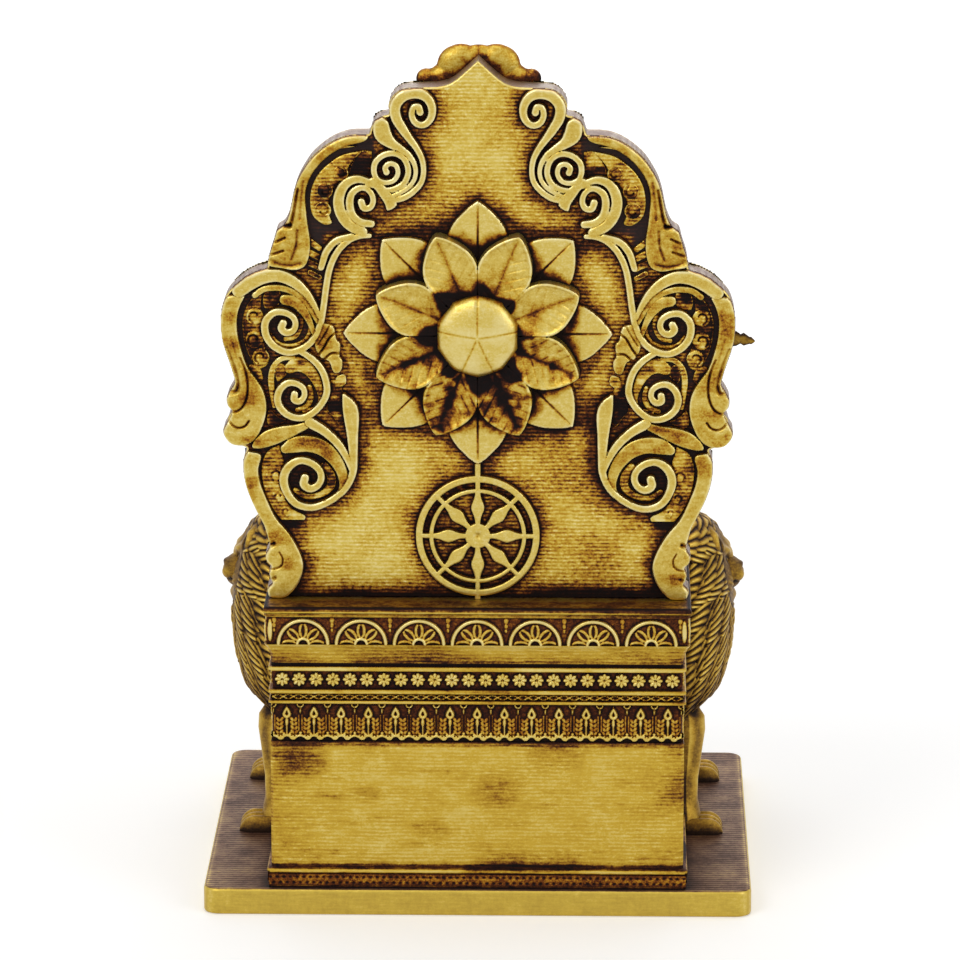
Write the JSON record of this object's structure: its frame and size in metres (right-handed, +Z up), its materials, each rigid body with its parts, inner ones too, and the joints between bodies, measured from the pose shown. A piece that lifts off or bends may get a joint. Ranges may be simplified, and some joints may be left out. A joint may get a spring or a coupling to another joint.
{
  "type": "deity throne",
  "caption": "Cast brass throne for a small deity figure: stepped base, hollow seat box with carved bands, seated lions at the sides and a tall scrolled backrest with a lotus.",
  "frame": {"origin": "centre of the bounding box at the underside of the base plate", "axes": "+Z up, +Y the way the seat faces, with the carved back of the backrest towards -Y, +X to the right when the back is looked at"},
  "size_m": [0.102, 0.091, 0.1614],
  "materials": {
    "arcade_strip_back": "cast brass, raised faces rubbed to a satin gold, recesses dark brown",
    "arcade_strip_front": "cast brass, raised faces rubbed to a satin gold, recesses dark brown",
    "arcade_strip_left": "cast brass, raised faces rubbed to a satin gold, recesses dark brown",
    "arcade_strip_right": "cast brass, raised faces rubbed to a satin gold, recesses dark brown",
    "back_crescent_leaf_left": "cast brass, raised faces rubbed to a satin gold, recesses dark brown",
    "back_crescent_leaf_right": "cast brass, raised faces rubbed to a satin gold, recesses dark brown",
    "back_foot_leaf_left": "cast brass, raised faces rubbed to a satin gold, recesses dark brown",
    "back_foot_leaf_right": "cast brass, raised faces rubbed to a satin gold, recesses dark brown",
    "back_lower_scroll_left": "cast brass, raised faces rubbed to a satin gold, recesses dark brown",
    "back_lower_scroll_right": "cast brass, raised faces rubbed to a satin gold, recesses dark brown",
    "back_mid_scroll_left": "cast brass, raised faces rubbed to a satin gold, recesses dark brown",
    "back_mid_scroll_right": "cast brass, raised faces rubbed to a satin gold, recesses dark brown",
    "back_shoulder_leaf_left": "cast brass, raised faces rubbed to a satin gold, recesses dark brown",
    "back_shoulder_leaf_right": "cast brass, raised faces rubbed to a satin gold, recesses dark brown",
    "back_top_scroll_left": "cast brass, raised faces rubbed to a satin gold, recesses dark brown",
    "back_top_scroll_right": "cast brass, raised faces rubbed to a satin gold, recesses dark brown",
    "back_wing_leaf_left": "cast brass, raised faces rubbed to a satin gold, recesses dark brown",
    "back_wing_leaf_right": "cast brass, raised faces rubbed to a satin gold, recesses dark brown",
    "backrest_plate": "cast brass with a dark brown patina in its recesses, satin where rubbed",
    "base_plate": "cast brass, raised faces rubbed to a satin gold, recesses dark brown",
    "base_screw_1": "plain steel, satin",
    "base_screw_2": "plain steel, satin",
    "base_screw_3": "plain steel, satin",
    "base_screw_4": "plain steel, satin",
    "crest_leaf": "cast brass, raised faces rubbed to a satin gold, recesses dark brown",
    "front_foot_leaf_left": "cast brass, raised faces rubbed to a satin gold, recesses dark brown",
    "front_foot_leaf_right": "cast brass, raised faces rubbed to a satin gold, recesses dark brown",
    "front_lower_scroll_left": "cast brass, raised faces rubbed to a satin gold, recesses dark brown",
    "front_lower_scroll_right": "cast brass, raised faces rubbed to a satin gold, recesses dark brown",
    "front_mid_scroll_left": "cast brass, raised faces rubbed to a satin gold, recesses dark brown",
    "front_mid_scroll_right": "cast brass, raised faces rubbed to a satin gold, recesses dark brown",
    "front_top_scroll_left": "cast brass, raised faces rubbed to a satin gold, recesses dark brown",
    "front_top_scroll_right": "cast brass, raised faces rubbed to a satin gold, recesses dark brown",
    "lion_bolt_left": "plain steel, satin",
    "lion_bolt_right": "plain steel, satin",
    "lion_bust_left": "cast brass, darker olive gold, dark in the grooves of the hair",
    "lion_bust_right": "cast brass, darker olive gold, dark in the grooves of the hair",
    "lion_far_foreleg_left": "cast brass, darker olive gold, dark in the grooves of the hair",
    "lion_far_foreleg_right": "cast brass, darker olive gold, dark in the grooves of the hair",
    "lion_near_foreleg_left": "cast brass, darker olive gold, dark in the grooves of the hair",
    "lion_near_foreleg_right": "cast brass, darker olive gold, dark in the grooves of the hair",
    "lotus_bud": "cast brass, raised faces rubbed to a satin gold, recesses dark brown",
    "lotus_inner_petals": "cast brass, raised faces rubbed to a satin gold, recesses dark brown",
    "lotus_outer_petals": "cast brass, raised faces rubbed to a satin gold, recesses dark brown",
    "palmette_strip_back": "cast brass, raised faces rubbed to a satin gold, recesses dark brown",
    "palmette_strip_front": "cast brass, raised faces rubbed to a satin gold, recesses dark brown",
    "palmette_strip_left": "cast brass, raised faces rubbed to a satin gold, recesses dark brown",
    "palmette_strip_right": "cast brass, raised faces rubbed to a satin gold, recesses dark brown",
    "rosette_strip_back": "cast brass, raised faces rubbed to a satin gold, recesses dark brown",
    "rosette_strip_front": "cast brass, raised faces rubbed to a satin gold, recesses dark brown",
    "rosette_strip_left": "cast brass, raised faces rubbed to a satin gold, recesses dark brown",
    "rosette_strip_right": "cast brass, raised faces rubbed to a satin gold, recesses dark brown",
    "seat_box": "cast brass, raised faces rubbed to a satin gold, recesses dark brown",
    "seat_slab": "cast brass, raised faces rubbed to a satin gold, recesses dark brown",
    "side_leaf_tip": "cast brass with a dark brown patina in its recesses, satin where rubbed",
    "wheel_and_stem": "cast brass, raised faces rubbed to a satin gold, recesses dark brown"
  },
  "bodies": {
    "root": {"arcade_strip_back": "arcade_strip_back", "arcade_strip_front": "arcade_strip_front", "arcade_strip_left": "arcade_strip_left", "arcade_strip_right": "arcade_strip_right", "back_crescent_leaf_left": "back_crescent_leaf_left", "back_crescent_leaf_right": "back_crescent_leaf_right", "back_foot_leaf_left": "back_foot_leaf_left", "back_foot_leaf_right": "back_foot_leaf_right", "back_lower_scroll_left": "back_lower_scroll_left", "back_lower_scroll_right": "back_lower_scroll_right", "back_mid_scroll_left": "back_mid_scroll_left", "back_mid_scroll_right": "back_mid_scroll_right", "back_shoulder_leaf_left": "back_shoulder_leaf_left", "back_shoulder_leaf_right": "back_shoulder_leaf_right", "back_top_scroll_left": "back_top_scroll_left", "back_top_scroll_right": "back_top_scroll_right", "back_wing_leaf_left": "back_wing_leaf_left", "back_wing_leaf_right": "back_wing_leaf_right", "backrest_plate": "backrest_plate", "base_plate": "base_plate", "base_screw_1": "base_screw_1", "base_screw_2": "base_screw_2", "base_screw_3": "base_screw_3", "base_screw_4": "base_screw_4", "crest_leaf": "crest_leaf", "front_foot_leaf_left": "front_foot_leaf_left", "front_foot_leaf_right": "front_foot_leaf_right", "front_lower_scroll_left": "front_lower_scroll_left", "front_lower_scroll_right": "front_lower_scroll_right", "front_mid_scroll_left": "front_mid_scroll_left", "front_mid_scroll_right": "front_mid_scroll_right", "front_top_scroll_left": "front_top_scroll_left", "front_top_scroll_right": "front_top_scroll_right", "lion_bolt_left": "lion_bolt_left", "lion_bolt_right": "lion_bolt_right", "lion_bust_left": "lion_bust_left", "lion_bust_right": "lion_bust_right", "lion_far_foreleg_left": "lion_far_foreleg_left", "lion_far_foreleg_right": "lion_far_foreleg_right", "lion_near_foreleg_left": "lion_near_foreleg_left", "lion_near_foreleg_right": "lion_near_foreleg_right", "lotus_bud": "lotus_bud", "lotus_inner_petals": "lotus_inner_petals", "lotus_outer_petals": "lotus_outer_petals", "palmette_strip_back": "palmette_strip_back", "palmette_strip_front": "palmette_strip_front", "palmette_strip_left": "palmette_strip_left", "palmette_strip_right": "palmette_strip_right", "rosette_strip_back": "rosette_strip_back", "rosette_strip_front": "rosette_strip_front", "rosette_strip_left": "rosette_strip_left", "rosette_strip_right": "rosette_strip_right", "seat_box": "seat_box", "seat_slab": "seat_slab", "side_leaf_tip": "side_leaf_tip", "wheel_and_stem": "wheel_and_stem"}
  },
  "joints": []
}
